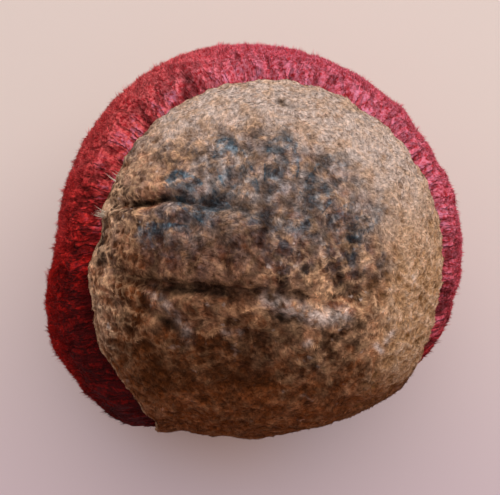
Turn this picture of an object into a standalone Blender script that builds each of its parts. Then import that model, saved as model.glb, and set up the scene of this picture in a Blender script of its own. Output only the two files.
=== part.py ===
"""A slack two-panel suede footbag, at rest on a table with one lobe of its tan panel on top.

Two equal dog-bone panels are sewn together inside out along one seam, turned the right way out,
filled with plastic pellets through the last stretch of that seam, and closed by hand.
"""

import math

import bmesh
import bpy
from mathutils import Matrix, Vector

# Resting form of the bag, in metres. The centre is at the widest level, above the table.
BAG_CENTRE = Vector((-0.0001, -0.0005, 0.0185))
HALF_WIDTH = 0.0252
HALF_DEPTH = 0.0246
CROWN_RISE = 0.0220
BASE_DROP = 0.0212
CROWN_FULLNESS = 0.03
BASE_FULLNESS = 0.08

# Where the fill pushes the sides out, or leaves them flat where the height is below 0: bearing in degrees,
# height in metres, spread in degrees, and a power that is 2 for a round bulge and more for a flat-topped one
SIDE_BULGES = (
    (221.0, 0.0037, 29.5, 4),
    (347.0, 0.0006, 27.0, 2),
    (115.0, 0.0016, 33.0, 2),
    (315.0, 0.0007, 14.0, 2),
    (283.0, -0.0004, 12.0, 2),
    (32.0, -0.0003, 14.0, 2),
)

# Folds across the slack crown: two plan points, depth and half-width, all in metres
CROWN_CREASES = (
    ((-0.0110, 0.0003), (0.0040, -0.0009), 0.0011, 0.0020),
    ((-0.0105, -0.0080), (0.0068, -0.0101), 0.0015, 0.0022),
)

# The suede cover. The seam is where y*y - x*x equals SEAM_LEAN * z + SEAM_ROUND * z**3 on a unit ball.
SUEDE = 0.0014
SEAM_LEAN = -0.22
SEAM_ROUND = 0.87
COVER_TIP, COVER_TURN, COVER_ROLL = (math.radians(a) for a in (20.5, 6.2, 6.3))
SEAM_GAP = 0.0003
SEAM_VALLEY = 0.0013
SEAM_VALLEY_REACH = 0.0021
SEAM_ALLOWANCE = 0.0030
EDGE_EASE = 0.0040

# Sewing
SEAM_STITCHES = 46
CLOSING_STITCHES = 6
CLOSING_START = 0.30
STITCH_DEPTH = 0.0018
THREAD_RADIUS = 0.00027
NEEDLE_HOLE_RADIUS = 0.0006
THREAD_CLEARANCE = 0.0003
STITCH_CORNER = 0.0005
KNOT_SWELL = 2.4

# Pellet fill
FILL_GAP = 0.0006
ALLOWANCE_ROOM = 0.0058
ALLOWANCE_ROOM_REACH = 0.0042
FILL_LEVEL = 0.0232
PELLET_RADIUS = 0.00225
PELLET_PITCH = 0.0050
LAYER_RISE = PELLET_PITCH * math.sqrt(2 / 3)
PELLET_GAP = 0.0003

# Mesh fineness
PANEL_LENGTH_CELLS = 46
PANEL_WIDTH_CELLS = 18
EDGE_CROWDING = 0.30
SEAM_SAMPLES = 720
NEEDLE_HOLE_SIDES = 6
BED_SEGMENTS = 40
BED_RINGS = 22

MEAN_RADIUS = (HALF_WIDTH + HALF_DEPTH) / 2
UP = Vector((0, 0, 1))

# Cover axes: x across the tan panel, y out of its top lobe, z towards the red panel's waist
COVER_AXES = Matrix(((-1, 0, 0), (0, 0, 1), (0, 1, 0)))
COVER_TO_BAG = (
    Matrix.Rotation(COVER_TIP, 3, "X")
    @ Matrix.Rotation(COVER_TURN, 3, "Y")
    @ Matrix.Rotation(COVER_ROLL, 3, "Z")
    @ COVER_AXES
)
TAN_TO_RED = Matrix.Rotation(math.pi, 3, Vector((1, -1, 0)))


def clear_scene():
    for thing in list(bpy.data.objects):
        bpy.data.objects.remove(thing)


def new_collection(name):
    collection = bpy.data.collections.new(name)
    bpy.context.scene.collection.children.link(collection)
    return collection


def new_material(name, colour, roughness):
    material = bpy.data.materials.new(name)
    material.use_nodes = True
    shader = material.node_tree.nodes["Principled BSDF"]
    shader.inputs["Base Color"].default_value = (*colour, 1.0)
    shader.inputs["Roughness"].default_value = roughness
    shader.inputs["Metallic"].default_value = 0.0
    return material


def add_object(name, data, collection, material=None):
    thing = bpy.data.objects.new(name, data)
    collection.objects.link(thing)
    if material:
        data.materials.append(material)
    return thing


def mesh_from(bm, name):
    mesh = bpy.data.meshes.new(name)
    bm.to_mesh(mesh)
    bm.free()
    mesh.shade_smooth()
    return mesh


# The seam on a unit ball


def seam_level(z):
    return SEAM_LEAN * z + SEAM_ROUND * z**3


def cover_side(d):
    """Above 0 on the tan panel, below 0 on the red one, for a unit direction in cover axes."""
    return d.y**2 - d.x**2 - seam_level(d.z)


def away_from_seam(d):
    """The way across the ball from the seam into the tan panel, as long as cover_side is steep."""
    slope = Vector((-2 * d.x, 2 * d.y, -SEAM_LEAN - 3 * SEAM_ROUND * d.z**2))
    return slope - slope.dot(d) * d


def seam_distance(d):
    """Distance from the seam over the bag's surface, about true where it is short."""
    return MEAN_RADIUS * abs(cover_side(d)) / max(away_from_seam(d).length, 0.05)


def station_direction(station, across):
    """A direction on the tan panel: station turns along its middle from the waist, across turns off it."""
    middle = Vector((0, math.sin(station), -math.cos(station)))
    return math.cos(across) * middle + math.sin(across) * Vector((1, 0, 0))


def root_between(value, low, high):
    """Where value, above 0 at low and below 0 at high, crosses 0."""
    for _ in range(48):
        middle = (low + high) / 2
        if value(middle) > 0:
            low = middle
        else:
            high = middle
    return low


def panel_reach():
    """Angle along the panel's middle from its waist to the end of a lobe."""
    return root_between(lambda s: cover_side(station_direction(s, 0)), math.pi / 2, math.pi)


def panel_half_width(station):
    return root_between(lambda a: cover_side(station_direction(station, a)), 0, math.pi / 2)


PANEL_REACH = panel_reach()


def crowded(value):
    """Moves grid lines towards the panel's edge, where the cover turns in."""
    return value * (1 + EDGE_CROWDING - EDGE_CROWDING * value**2)


def panel_direction(along, across):
    """Lays a square of -1 to 1 over the dog-bone outline of the tan panel, edge on seam."""
    along, across = crowded(along), crowded(across)
    lengthwise = along * math.sqrt(1 - across**2 / 2)
    crosswise = across * math.sqrt(1 - along**2 / 2)
    lengthwise = max(-1 + 1e-9, min(1 - 1e-9, lengthwise))
    station = PANEL_REACH * lengthwise
    share = crosswise / math.sqrt(1 - lengthwise**2)
    return station_direction(station, panel_half_width(abs(station)) * share)


# The slack form that the cover lies on


def side_bulge(d):
    """How far the fill pushes the side out in a direction, most of all at the widest level."""
    bearing = math.degrees(math.atan2(d.y, d.x))
    total = 0.0
    for middle, height, spread, power in SIDE_BULGES:
        turn = (bearing - middle + 180) % 360 - 180
        total += height * math.exp(-(abs(turn / spread) ** power))
    return total * (1 - d.z**2)


def crease_depth(point):
    """How far the folds draw the crown in at a point above the widest level."""
    total = 0.0
    for start, end, depth, half_width in CROWN_CREASES:
        start, end, here = Vector(start), Vector(end), Vector(point[:2])
        line = end - start
        share = (here - start).dot(line) / line.length_squared
        nearest = start + max(0.0, min(1.0, share)) * line
        total += depth * math.exp(-(((here - nearest).length / half_width) ** 2))
    return total if point.z > BAG_CENTRE.z else 0.0


def form_point(d):
    """The smooth outside of the bag in a unit direction, before seam and table."""
    rise, fullness = (CROWN_RISE, CROWN_FULLNESS) if d.z > 0 else (BASE_DROP, BASE_FULLNESS)
    stretch = 1 + side_bulge(d) / MEAN_RADIUS + fullness * 4 * d.z**2 * (1 - d.z**2)
    point = BAG_CENTRE + Vector((HALF_WIDTH * d.x * stretch, HALF_DEPTH * d.y * stretch, rise * d.z))
    return point - crease_depth(point) * d


def inwards(point):
    return (BAG_CENTRE - point).normalized()


def held_between(point, low, high):
    """Draws a point straight towards the bag's centre until its height is from low to high."""
    out = point - BAG_CENTRE
    limit = (high if out.z > 0 else low) - BAG_CENTRE.z
    return BAG_CENTRE + out * (limit / out.z) if abs(out.z) > abs(limit) else point


def skin_point(d):
    """The outside of the cover: drawn in along the seam, and flat where it rests on the table."""
    point = form_point(d)
    distance = seam_distance(COVER_TO_BAG.transposed() @ d)
    point += SEAM_VALLEY * math.exp(-((distance / SEAM_VALLEY_REACH) ** 2)) * inwards(point)
    return held_between(point, 0.0, math.inf)


def across_seam(d):
    """The unit way across the seam into the tan panel, in the bag's axes."""
    return (COVER_TO_BAG @ away_from_seam(COVER_TO_BAG.transposed() @ d)).normalized()


def eased_from_seam(d, amount):
    """A direction moved across the seam by amount where it lies on the seam, and less further off."""
    distance = seam_distance(COVER_TO_BAG.transposed() @ d)
    shift = amount * math.exp(-distance / EDGE_EASE) / MEAN_RADIUS
    return (d + shift * across_seam(d)).normalized()


def seam_loop(count):
    """Directions evenly spaced by length along the whole seam, starting at the end of the top lobe."""
    dense = []
    for step in range(SEAM_SAMPLES):
        turn = 2 * math.pi * step / SEAM_SAMPLES
        station = PANEL_REACH * math.cos(turn)
        half_width = panel_half_width(abs(station)) * (1 if turn < math.pi else -1)
        dense.append(COVER_TO_BAG @ station_direction(station, half_width))
    lengths = [0.0]
    for step in range(SEAM_SAMPLES):
        gap = skin_point(dense[(step + 1) % SEAM_SAMPLES]) - skin_point(dense[step])
        lengths.append(lengths[-1] + gap.length)
    found, step = [], 0
    for index in range(count):
        wanted = lengths[-1] * index / count
        while lengths[step + 1] < wanted:
            step += 1
        share = (wanted - lengths[step]) / (lengths[step + 1] - lengths[step])
        found.append(dense[step].lerp(dense[(step + 1) % SEAM_SAMPLES], share).normalized())
    return found


# Panels


def panel_grid(bm, turn, shift):
    """One face of a panel as a grid of directions, its edge shifted across the seam; gives its vertices."""
    grid = bmesh.ops.create_grid(bm, x_segments=PANEL_LENGTH_CELLS, y_segments=PANEL_WIDTH_CELLS, size=1)
    for vertex in grid["verts"]:
        on_seam = COVER_TO_BAG @ turn @ panel_direction(vertex.co.x, vertex.co.y)
        vertex.co = eased_from_seam(on_seam, shift)
    return grid["verts"]


def turned_in_edge(bm, vertices, depth):
    """Runs the open edge of a grid straight into the bag by depth and gives the new open edge."""
    corners = set(vertices)
    rim = [e for e in bm.edges if e.is_boundary and e.verts[0] in corners]
    added = bmesh.ops.extrude_edge_only(bm, edges=rim)["geom"]
    for vertex in (g for g in added if isinstance(g, bmesh.types.BMVert)):
        vertex.co += depth * inwards(vertex.co)
    return [g for g in added if isinstance(g, bmesh.types.BMEdge) and g.is_boundary]


def panel_mesh(name, turn, side):
    """One suede panel with its seam allowance turned in; side is 1 for tan, -1 for red."""
    bm = bmesh.new()
    outer = panel_grid(bm, turn, side * SEAM_GAP / 2)
    inner = panel_grid(bm, turn, side * (SEAM_GAP / 2 + SUEDE))
    for vertex in outer:
        vertex.co = skin_point(vertex.co)
    for vertex in inner:
        vertex.co = skin_point(vertex.co)
        vertex.co += SUEDE * inwards(vertex.co)
    open_edges = turned_in_edge(bm, outer, SUEDE + SEAM_ALLOWANCE)
    open_edges += turned_in_edge(bm, inner, SEAM_ALLOWANCE)
    bmesh.ops.bridge_loops(bm, edges=open_edges)
    bmesh.ops.recalc_face_normals(bm, faces=bm.faces)
    return mesh_from(bm, name)


def add_panel(name, turn, side, needle_holes, collection, material):
    panel = add_object(name, panel_mesh(name, turn, side), collection, material)
    pierced = panel.modifiers.new("needle holes", "BOOLEAN")
    pierced.operation = "DIFFERENCE"
    pierced.object = needle_holes
    return panel


# Sewing through the turned-in allowances


def stitch_point(d, across):
    """A point at stitch depth, the given distance across the seam into the tan panel."""
    point = skin_point(d)
    return point + STITCH_DEPTH * inwards(point) + across * across_seam(d)


def add_needle_holes(loop, collection):
    """Cutters for the holes that the needle made through both allowances."""
    bm = bmesh.new()
    length = 2 * (SEAM_GAP / 2 + 2 * SUEDE)
    for d in loop:
        place = Matrix.Translation(stitch_point(d, 0.0))
        place = place @ UP.rotation_difference(across_seam(d)).to_matrix().to_4x4()
        bmesh.ops.create_cone(
            bm,
            cap_ends=True,
            segments=NEEDLE_HOLE_SIDES,
            radius1=NEEDLE_HOLE_RADIUS,
            radius2=NEEDLE_HOLE_RADIUS,
            depth=length,
            matrix=place,
        )
    holes = add_object("needle_holes", mesh_from(bm, "needle_holes"), collection)
    holes.hide_render = True
    holes.display_type = "WIRE"
    return holes


def running_stitch(loop):
    """The route of one thread through every hole in turn, from one side of the seam to the other."""
    reach = SEAM_GAP / 2 + SUEDE + THREAD_CLEARANCE + THREAD_RADIUS
    corners = []
    for index, d in enumerate(loop):
        first = reach if index % 2 else -reach
        corners += [stitch_point(d, first), stitch_point(d, -first)]
    route = [corners[0]]
    for before, corner, after in zip(corners, corners[1:], corners[2:]):
        route.append(corner + STITCH_CORNER * (before - corner).normalized())
        route.append(corner + STITCH_CORNER * (after - corner).normalized())
    return route + [corners[-1]]


def add_thread(name, loop, collection, material):
    """A sewing thread along its stitches, with a knot at each end."""
    curve = bpy.data.curves.new(name, "CURVE")
    curve.dimensions = "3D"
    curve.bevel_depth = THREAD_RADIUS
    curve.bevel_resolution = 1
    curve.use_fill_caps = True
    route = running_stitch(loop)
    spline = curve.splines.new("POLY")
    spline.points.add(len(route) - 1)
    for point, place in zip(spline.points, route):
        point.co = (*place, 1.0)
    for end in (spline.points[0], spline.points[-1]):
        end.radius = KNOT_SWELL
    return add_object(name, curve, collection, material)


# Fill


def bed_point(d):
    """The outside of the settled pellets: against the cover, clear of the allowances, level on top."""
    point = skin_point(d)
    distance = seam_distance(COVER_TO_BAG.transposed() @ d)
    room = ALLOWANCE_ROOM * math.exp(-((distance / ALLOWANCE_ROOM_REACH) ** 2))
    point += (SUEDE + FILL_GAP + room) * inwards(point)
    return held_between(point, SUEDE + FILL_GAP, FILL_LEVEL)


def add_pellet_bed(collection, material):
    """The settled pellets as one body, because there are far more of them than can be shown."""
    bm = bmesh.new()
    bmesh.ops.create_uvsphere(bm, u_segments=BED_SEGMENTS, v_segments=BED_RINGS, radius=1)
    for vertex in bm.verts:
        vertex.co = bed_point(vertex.co.normalized())
    return add_object("pellet_bed", mesh_from(bm, "pellet_bed"), collection, material)


def hexagon_sites(rings):
    """Plan places of a close-packed patch of pellets with that many rings round the middle one."""
    sites = []
    for row in range(-rings, rings + 1):
        for step in range(max(-rings, -rings - row), min(rings, rings - row) + 1):
            sites.append(Vector((PELLET_PITCH * (step + row / 2), PELLET_PITCH * row * math.sqrt(3) / 2)))
    return sites


def hollow_sites(sites, reach):
    """Every second hollow between three neighbours of a close-packed patch, within reach of its middle."""
    offset = Vector((PELLET_PITCH / 2, PELLET_PITCH / (2 * math.sqrt(3))))
    return [site + offset for site in sites if (site + offset).length < reach]


def add_pellets(prefix, sites, height, collection, material):
    bm = bmesh.new()
    bmesh.ops.create_icosphere(bm, subdivisions=2, radius=PELLET_RADIUS)
    mesh = mesh_from(bm, prefix)
    mesh.materials.append(material)
    for index, site in enumerate(sites, start=1):
        pellet = add_object(f"{prefix}_{index:02d}", mesh, collection)
        pellet.location = (BAG_CENTRE.x + site.x, BAG_CENTRE.y + site.y, height)


def main():
    clear_scene()
    bag = new_collection("footbag")
    cutters = new_collection("cutters")
    tan = new_material("tan suede", (0.46, 0.30, 0.17), 0.9)
    red = new_material("red suede", (0.40, 0.03, 0.04), 0.85)
    thread = new_material("thread", (0.70, 0.62, 0.50), 0.8)
    plastic = new_material("pellet plastic", (0.75, 0.74, 0.70), 0.45)

    loop = seam_loop(SEAM_STITCHES + CLOSING_STITCHES)
    first = round(CLOSING_START * len(loop))
    loop = loop[first:] + loop[:first]
    needle_holes = add_needle_holes(loop, cutters)
    add_panel("tan_panel", Matrix.Identity(3), 1, needle_holes, bag, tan)
    add_panel("red_panel", TAN_TO_RED, -1, needle_holes, bag, red)
    add_thread("closing_thread", loop[:CLOSING_STITCHES], bag, thread)
    add_thread("seam_thread", loop[CLOSING_STITCHES:], bag, thread)

    add_pellet_bed(bag, plastic)
    low_height = FILL_LEVEL + PELLET_GAP + PELLET_RADIUS
    low_sites = hexagon_sites(2)
    add_pellets("low_pellet", low_sites, low_height, bag, plastic)
    top_sites = hollow_sites(low_sites, 2 * PELLET_PITCH)
    add_pellets("top_pellet", top_sites, low_height + LAYER_RISE, bag, plastic)


main()
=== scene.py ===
"""Looks of a slack, well-kicked footbag: two dog-bone panels of napped suede, one tan and one crimson."""

import math

import bpy
import numpy as np
from mathutils import Matrix, Vector, kdtree, noise


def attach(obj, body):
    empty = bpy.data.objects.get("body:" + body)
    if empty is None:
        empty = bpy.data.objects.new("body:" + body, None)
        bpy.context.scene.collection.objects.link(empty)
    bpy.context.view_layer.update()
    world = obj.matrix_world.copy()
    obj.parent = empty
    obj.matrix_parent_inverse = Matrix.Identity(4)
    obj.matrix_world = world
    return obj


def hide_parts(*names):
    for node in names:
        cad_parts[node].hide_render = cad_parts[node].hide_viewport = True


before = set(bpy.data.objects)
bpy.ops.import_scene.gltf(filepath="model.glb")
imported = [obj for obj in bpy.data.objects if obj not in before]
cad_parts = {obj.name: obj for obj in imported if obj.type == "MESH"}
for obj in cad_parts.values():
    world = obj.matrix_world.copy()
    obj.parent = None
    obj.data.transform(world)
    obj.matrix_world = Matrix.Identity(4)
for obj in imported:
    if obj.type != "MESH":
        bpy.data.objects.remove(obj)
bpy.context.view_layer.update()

# Tan panel
# A dog-bone of thick tan suede: two round lobes joined by a waist. It is sewn to its crimson twin inside out,
# turned, and worn slack, so that its crown has sunk into two folds and its edge rolls in at the seam.

NOISE_SEED = 1
noise.seed_set(NOISE_SEED)  # without a seed, noise vectors differ from run to run

BAG_CENTRE = np.array((-0.0001, -0.0005, 0.0185))
HALF_WIDTH, HALF_DEPTH = 0.0252, 0.0246
CROWN_RISE, BASE_DROP = 0.0220, 0.0212
CROWN_FULLNESS, BASE_FULLNESS = 0.03, 0.08
MEAN_RADIUS = (HALF_WIDTH + HALF_DEPTH) / 2
SIDE_BULGES = (  # bearing in degrees, height in metres (below 0 for a flat), spread in degrees, power
    (221.0, 0.0037, 29.5, 4),
    (347.0, 0.0006, 27.0, 2),
    (115.0, 0.0016, 33.0, 2),
    (315.0, 0.0007, 14.0, 2),
    (283.0, -0.0004, 12.0, 2),
    (32.0, -0.0003, 14.0, 2),
    (249.0, -0.0008, 5.0, 2),
)
SUEDE = 0.0014
SEAM_LEAN, SEAM_ROUND = -0.22, 0.87
COVER_TIP, COVER_TURN, COVER_ROLL = (math.radians(a) for a in (20.5, 6.2, 6.3))
SEAM_GAP = 0.0003
SEAM_ALLOWANCE = 0.0030
EDGE_EASE, LEAST_STEEPNESS = 0.0040, 0.05
SEAM_SAMPLES = 1440
OUTSIDE_CELLS = (480, 168)  # along and across the panel
INSIDE_CELLS = (120, 42)
SLACK_CELLS = (200, 70)

COVER_AXES = Matrix(((-1, 0, 0), (0, 0, 1), (0, 1, 0)))
COVER_TO_BAG = np.array(
    Matrix.Rotation(COVER_TIP, 3, "X")
    @ Matrix.Rotation(COVER_TURN, 3, "Y")
    @ Matrix.Rotation(COVER_ROLL, 3, "Z")
    @ COVER_AXES
)
TAN_TO_RED = np.array(Matrix.Rotation(math.pi, 3, Vector((1, -1, 0))))


def unit(vectors):
    return vectors / np.linalg.norm(vectors, axis=-1, keepdims=True)


def cover_side(d):
    """Above 0 on the tan panel and below 0 on the red one, for unit directions in the cover's axes."""
    x, y, z = d.T
    return y**2 - x**2 - SEAM_LEAN * z - SEAM_ROUND * z**3


def away_from_seam(d):
    """The way over the ball from the seam into the tan panel, as long as cover_side is steep."""
    x, y, z = d.T
    slope = np.stack((-2 * x, 2 * y, -SEAM_LEAN - 3 * SEAM_ROUND * z**2), 1)
    return slope - np.sum(slope * d, 1, keepdims=True) * d


def station_direction(station, across):
    """Directions on the tan panel: station turns along its middle from the waist, across turns off it."""
    middle = np.stack((0 * station, np.sin(station), -np.cos(station)), 1)
    return np.cos(across)[:, None] * middle + np.sin(across)[:, None] * np.array((1.0, 0, 0))


def root_between(value, low, high):
    """Where value, above 0 at low and below 0 at high, crosses 0."""
    for _ in range(40):
        middle = (low + high) / 2
        above = value(middle) > 0
        low, high = np.where(above, middle, low), np.where(above, high, middle)
    return low


PANEL_REACH = root_between(
    lambda s: cover_side(station_direction(s, 0 * s)), np.array([math.pi / 2]), np.array([math.pi])
)[0]


def half_width_at(station):
    station = np.abs(station)
    return root_between(
        lambda a: cover_side(station_direction(station, a)), 0 * station, 0 * station + math.pi / 2
    )


def panel_directions(cells):
    """A grid laid over the tan panel's outline, edge on seam, with its places on the unit square."""
    along, across = np.meshgrid(*(np.linspace(-1, 1, count + 1) for count in cells), indexing="ij")
    along, across = along.ravel(), across.ravel()
    lengthwise = np.clip(along * np.sqrt(1 - across**2 / 2), -1 + 1e-9, 1 - 1e-9)
    crosswise = across * np.sqrt(1 - along**2 / 2)
    station = PANEL_REACH * lengthwise
    turn = half_width_at(station) * crosswise / np.sqrt(1 - lengthwise**2)
    return station_direction(station, turn), np.stack((along, across), 1) / 2 + 0.5


def seam_samples():
    """Directions along the seam in the bag's axes, how far round it each one lies, 0 to 1, and its length."""
    turn = np.linspace(0, 2 * math.pi, SEAM_SAMPLES, endpoint=False)
    station = PANEL_REACH * np.cos(turn)
    half_width = half_width_at(station) * np.where(turn < math.pi, 1, -1)
    loop = station_direction(station, half_width) @ COVER_TO_BAG.T
    steps = np.linalg.norm(np.roll(loop, -1, 0) - loop, axis=1)
    return loop, np.concatenate(([0.0], np.cumsum(steps)[:-1])) / steps.sum(), steps.sum() * MEAN_RADIUS


SEAM_LOOP, SEAM_SHARE, SEAM_LENGTH = seam_samples()
seam_tree = kdtree.KDTree(SEAM_SAMPLES)
for index, place in enumerate(SEAM_LOOP):
    seam_tree.insert(place, index)
seam_tree.balance()


def seam_places(d):
    """How far directions are from the seam, in metres, and the share of the way round it nearest to each."""
    found = [seam_tree.find(place) for place in d]
    distance = MEAN_RADIUS * np.array([f[2] for f in found])
    return distance, SEAM_SHARE[[f[1] for f in found]]


def noise_at(points):
    return np.array([noise.noise(p) for p in points])


def swirls_at(points):
    return np.array([noise.noise_vector(p) for p in points])


def round_seam(share, spacing, across, seed):
    """Noise with no break round the seam: lumps one spacing apart along it, drawn out across it."""
    radius = SEAM_LENGTH / (2 * math.pi * spacing)
    turn = 2 * math.pi * share
    return noise_at(np.stack((radius * np.cos(turn) + seed, radius * np.sin(turn), across), 1))


def form_points(d):
    """The smooth outside of the bag in unit directions, before seams, folds and table."""
    x, y, z = d.T
    bearing = np.degrees(np.arctan2(y, x))
    level = 1 - z**2
    stretch = 1 + np.where(z > 0, CROWN_FULLNESS, BASE_FULLNESS) * 4 * z**2 * level
    for middle, height, spread, power in SIDE_BULGES:
        turn = (bearing - middle + 180) % 360 - 180
        stretch += height / MEAN_RADIUS * np.exp(-(np.abs(turn / spread) ** power)) * level
    rise = np.where(z > 0, CROWN_RISE, BASE_DROP)
    return BAG_CENTRE + np.stack((HALF_WIDTH * x * stretch, HALF_DEPTH * y * stretch, rise * z), 1)


def off_line(points, line):
    """Distances from a line of plan points, and how far along it the nearest place is, 0 to 1."""
    line = np.array(line)
    lengths = np.linalg.norm(np.diff(line, axis=0), axis=1)
    nearest = np.full(len(points), np.inf)
    along = np.zeros(len(points))
    for step, (start, end) in enumerate(zip(line, line[1:])):
        run = end - start
        share = np.clip((points[:, :2] - start) @ run / (run @ run), 0, 1)
        gap = np.linalg.norm(points[:, :2] - start - share[:, None] * run, axis=1)
        reached = (lengths[:step].sum() + share * lengths[step]) / lengths.sum()
        along = np.where(gap < nearest, reached, along)
        nearest = np.minimum(nearest, gap)
    return nearest, along


FOLD_STRENGTHS = (0.3, 1, 0.25)  # at its start, where it is deepest, and at its end
FOLD_SHARPNESS = 1.3
SHOULDER, SHOULDER_PLACE, SHOULDER_SPREAD = 0.32, 2.7, 1.4  # the swelling beside a fold, in half-widths


def fold_depth(points, folds):
    """How far folds draw the crown in, and how near each point is to the bottom of one, 0 to 1.

    A fold is a line of plan points, its depth, its half-width and the share of its length where it is
    deepest.
    """
    drawn_in = np.zeros(len(points))
    bottom = np.zeros(len(points))
    for line, depth, half_width, deepest in folds:
        nearest, along = off_line(points, line)
        strength = np.interp(along, (0, deepest, 1), FOLD_STRENGTHS) * (points[:, 2] > BAG_CENTRE[2])
        across = nearest / half_width
        notch = np.exp(-(across**FOLD_SHARPNESS))
        shoulder = SHOULDER * np.exp(-(((across - SHOULDER_PLACE) / SHOULDER_SPREAD) ** 2))
        drawn_in += depth * strength * (notch - shoulder)
        bottom = np.maximum(bottom, strength * np.exp(-(across**2)))
    return drawn_in, bottom


TAN_FOLDS = (
    (
        ((-0.0156, 0.0006), (-0.0119, 0.0002), (-0.0092, 0.0006), (-0.0049, -0.0004), (-0.0009, -0.0010),
         (0.0050, -0.0006)),
        0.0012, 0.00045, 0.15,
    ),
    (
        ((-0.0162, -0.0060), (-0.0132, -0.0072), (-0.0092, -0.0084), (-0.0035, -0.0089), (0.0039, -0.0093),
         (0.0069, -0.0103)),
        0.0017, 0.00060, 0.45,
    ),
    (((-0.0009, -0.0102), (0.0020, -0.0113), (0.0052, -0.0122)), 0.0009, 0.0005, 0.5),
    (((0.0014, 0.0116), (0.0032, 0.0108), (0.0053, 0.0104)), 0.0006, 0.0004, 0.2),
    (((-0.0120, -0.0098), (-0.0085, -0.0120), (-0.0066, -0.0142)), 0.0006, 0.0007, 0.5),
)
TAN_RUBS = (  # lines of plan points where the tan is rubbed pale, each with its half-width
    (((-0.0106, -0.0085), (-0.0092, -0.0100), (-0.0071, -0.0124), (-0.0072, -0.0135)), 0.0005),
    (((0.0008, -0.0095), (0.0030, -0.0105), (0.0055, -0.0112), (0.0085, -0.0110)), 0.0008),
    (((0.0138, -0.0126), (0.0132, -0.0136)), 0.0003),
    (((0.0128, -0.0145), (0.0120, -0.0139)), 0.0003),
    (((-0.0034, -0.0126), (-0.0030, -0.0127)), 0.0003),
    (((-0.0020, -0.0127), (-0.0018, -0.0128)), 0.0003),
    (((0.0046, -0.0138), (0.0050, -0.0136)), 0.0003),
)


def rubbed_pale(points, rubs):
    """How much the tan is rubbed pale at each point, 0 to 1."""
    shares = [np.exp(-((off_line(points, line)[0] / half_width) ** 2)) for line, half_width in rubs]
    return np.max(shares, axis=0) * (points[:, 2] > BAG_CENTRE[2])


NAP_STAND = 0.00018  # how much of the bag's outline is nap
TAN_VALLEY, TAN_VALLEY_REACH = 0.0003, 0.0009
TAN_PUCKER, TAN_PUCKER_SPACING, TAN_PUCKER_REACH, TAN_PUCKER_LENGTH = 0.00030, 0.0016, 0.0022, 0.006
TAN_HOLE_SIZE, TAN_HOLE_DEPTH = 0.0017, 0.00020
NET_BEND, NET_BEND_RATE, NET_RIDGE = 0.35, 1.3, 0.45  # measured in holes of the net
FELT, FELT_SIZE, FINE_FELT_SIZE = 0.00012, 0.0011, 0.0006
PELLET_LUMP, PELLET_LUMP_SIZE, PELLET_LUMP_EASE = 0.00030, 0.0030, 0.006


def tan_form(points, distance):
    """How far the tan panel stands off the smooth bag: folded, lumpy, and rolled in at the seam."""
    lift = -NAP_STAND - fold_depth(points, TAN_FOLDS)[0]
    lift -= TAN_VALLEY * np.exp(-((distance / TAN_VALLEY_REACH) ** 2))
    lumps = PELLET_LUMP * noise_at(points / PELLET_LUMP_SIZE)
    return lift + lumps * np.clip(distance / PELLET_LUMP_EASE, 0, 1)


def net_holes(points, size):
    """A net of ridges about one size apart, bent by noise: 0 on a ridge and 1 inside one of its holes."""
    bent = points / size + NET_BEND * swirls_at(points / size * NET_BEND_RATE)
    near = np.array([noise.voronoi(p)[0][:2] for p in bent])
    return np.clip((near[:, 1] - near[:, 0]) / NET_RIDGE, 0, 1)


def tan_grain(points, distance, share):
    """Small puckers of the tan edge, and the felted lumps and worn holes of old suede."""
    puckers = round_seam(share, TAN_PUCKER_SPACING, distance / TAN_PUCKER_LENGTH, 3.0)
    felted = noise_at(points / FELT_SIZE) + 0.8 * noise_at(points / FINE_FELT_SIZE)
    holes = net_holes(points, TAN_HOLE_SIZE) - 0.5
    worn = FELT * felted - TAN_HOLE_DEPTH * holes
    return TAN_PUCKER * puckers * np.exp(-distance / TAN_PUCKER_REACH) + worn


def settled(points, lift):
    """Lifts points away from the bag's centre, then lays what would sink below the table flat on it."""
    out = points - BAG_CENTRE
    out = out + lift[:, None] * unit(out)
    below = out[:, 2] < -BAG_CENTRE[2]
    share = np.where(below, -BAG_CENTRE[2] / np.where(below, out[:, 2], -1), 1)
    return BAG_CENTRE + share[:, None] * out


TAN_REACH = 0.00045
SEAM_WOBBLE, SEAM_WOBBLE_SPACING = 0.00030, 0.0045
SEAM_WANDER = (  # share of the way round the seam, how far tan reaches over into red there, spread along it
    (0.0640, -0.0005, 0.0055),
    (0.1000, -0.0006, 0.0022),
    (0.1110, 0.0005, 0.0024),
    (0.1430, 0.0011, 0.0032),
    (0.1640, -0.0012, 0.0060),
    (0.1850, -0.0008, 0.0040),
    (0.8160, -0.0007, 0.0040),
    (0.8960, 0.0004, 0.0060),
    (0.9500, -0.0004, 0.0030),
    (0.9810, 0.0003, 0.0025),
)


def seam_wander(share):
    """The small ins and outs of a seam sewn by hand-fed machine."""
    wander = TAN_REACH + SEAM_WOBBLE * round_seam(share, SEAM_WOBBLE_SPACING, 0 * share, 29.0)
    for middle, reach, spread in SEAM_WANDER:
        off = (share - middle + 0.5) % 1 - 0.5
        wander += reach * np.exp(-((off * SEAM_LENGTH / spread) ** 2))
    return wander


def eased(d, amount):
    """Directions moved across the seam by amount where they lie on it, and by less further off."""
    in_cover = d @ COVER_TO_BAG
    slope = away_from_seam(in_cover)
    steep = np.linalg.norm(slope, axis=1)
    distance = MEAN_RADIUS * np.abs(cover_side(in_cover)) / np.maximum(steep, LEAST_STEEPNESS)
    shift = amount * np.exp(-distance / EDGE_EASE) / MEAN_RADIUS
    return unit(d + shift[:, None] * unit(slope) @ COVER_TO_BAG.T)


def grid_numbers(cells):
    return np.arange((cells[0] + 1) * (cells[1] + 1)).reshape(cells[0] + 1, cells[1] + 1)


def rim_of_grid(cells):
    """Indices round the edge of a panel's grid."""
    grid = grid_numbers(cells)
    return np.concatenate((grid[:-1, 0], grid[-1, :-1], grid[:0:-1, -1], grid[0, :0:-1]))


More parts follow.
